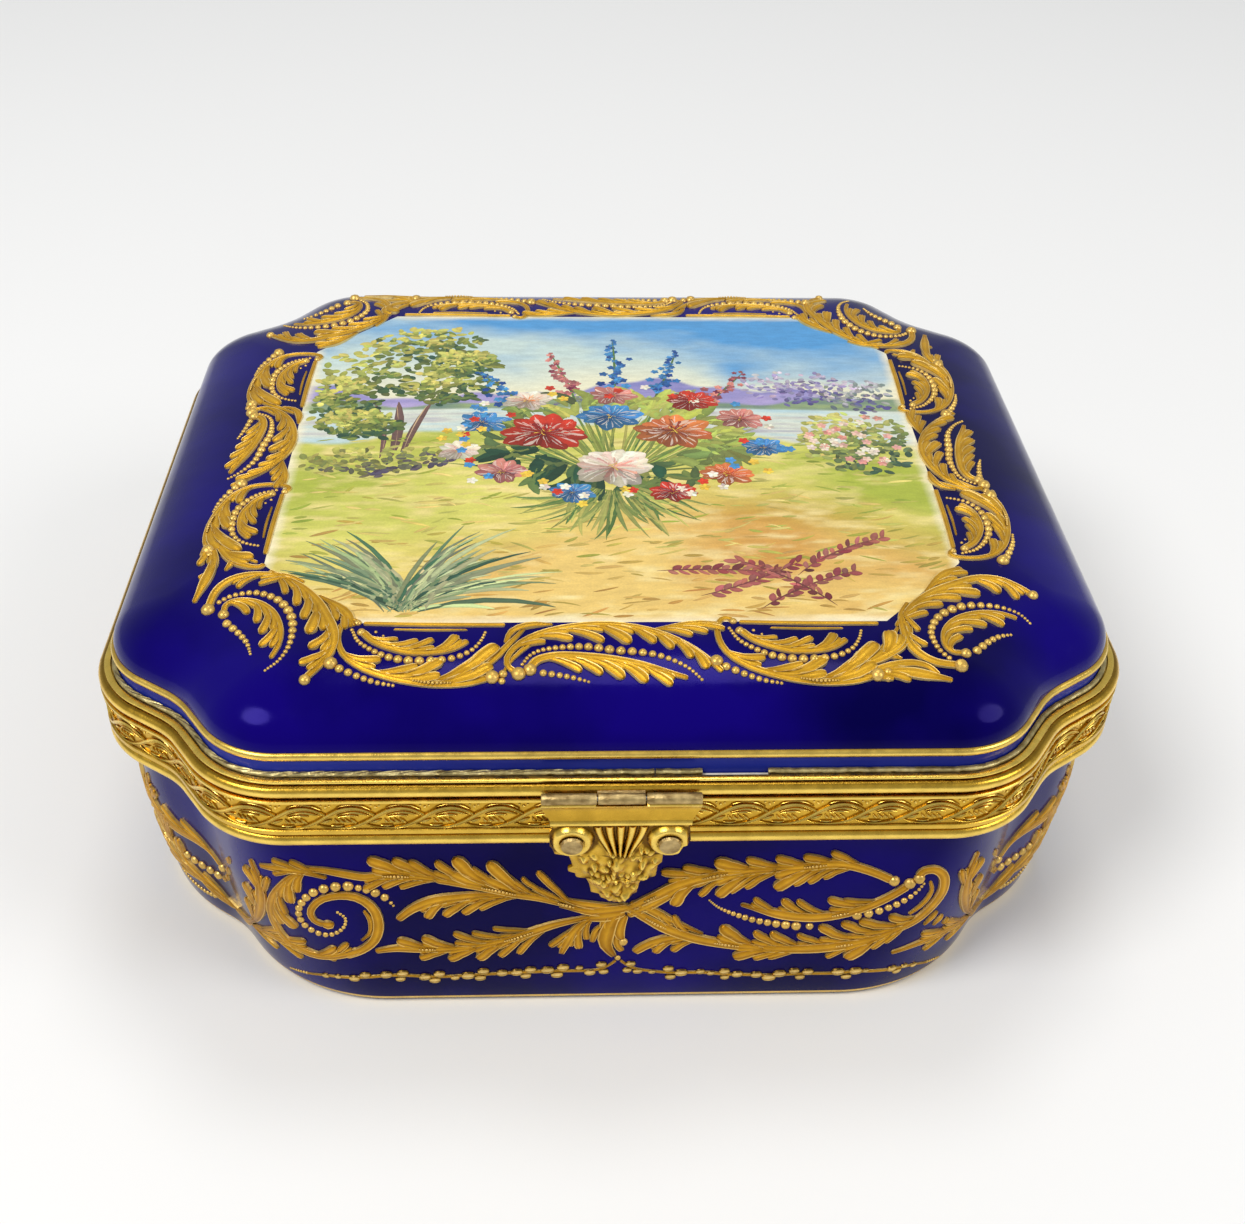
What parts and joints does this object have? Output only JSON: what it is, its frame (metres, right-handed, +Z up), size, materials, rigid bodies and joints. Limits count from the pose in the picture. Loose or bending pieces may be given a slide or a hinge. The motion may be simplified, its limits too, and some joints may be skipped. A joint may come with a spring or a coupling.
{
  "type": "jewelry box",
  "caption": "Hinged porcelain jewelry box with serpentine corners, domed lid, gilt brass mounts and a front drop clasp.",
  "frame": {"origin": "centre of the foot, on the surface the box stands on", "axes": "+Z up, +X to the right and +Y to the hinge at the back, seen from the clasp side"},
  "size_m": [0.2498, 0.2367, 0.0976],
  "materials": {
    "body_glaze": "deep cobalt glaze outside with raised gilding, white glaze inside",
    "lid_glaze": "cobalt glaze with raised gilding and a painted panel, white glaze inside",
    "plaster": "matt bedding plaster",
    "gilt_brass": "cast and gilded, grooves darkened",
    "worn_brass": "worn, greenish",
    "pin_steel": "plain"
  },
  "bodies": {
    "base": {"body_porcelain": "body_glaze", "body_bedding": "plaster", "base_mount": "gilt_brass", "catch_keeper": "gilt_brass", "hinge_leaf_body": "gilt_brass", "hinge_pin": "pin_steel", "hinge_rivet_body_left": "gilt_brass", "hinge_rivet_body_right": "gilt_brass"},
    "lid": {"lid_porcelain": "lid_glaze", "lid_bedding": "plaster", "lid_mount": "gilt_brass", "collar_main": "worn_brass", "collar_patch_left": "worn_brass", "collar_patch_right": "worn_brass", "hinge_leaf_lid": "gilt_brass", "hinge_rivet_lid_left": "gilt_brass", "hinge_rivet_lid_right": "gilt_brass", "clasp_lug": "gilt_brass", "clasp_pin": "pin_steel"},
    "clasp": {"clasp_plate": "gilt_brass", "clasp_leaf": "gilt_brass", "clasp_rivet_left": "worn_brass", "clasp_rivet_right": "worn_brass", "catch_spring": "pin_steel"}
  },
  "joints": [
    {"name": "lid_hinge", "type": "hinge", "parent": "base", "child": "lid", "pos_m": [0, 0.1158, 0.07325], "axis": [-1, 0, 0], "range_deg": [0, 95]},
    {"name": "clasp_hinge", "type": "hinge", "parent": "lid", "child": "clasp", "pos_m": [0, -0.116, 0.07625], "axis": [-1, 0, 0], "range_deg": [0, 110]}
  ]
}
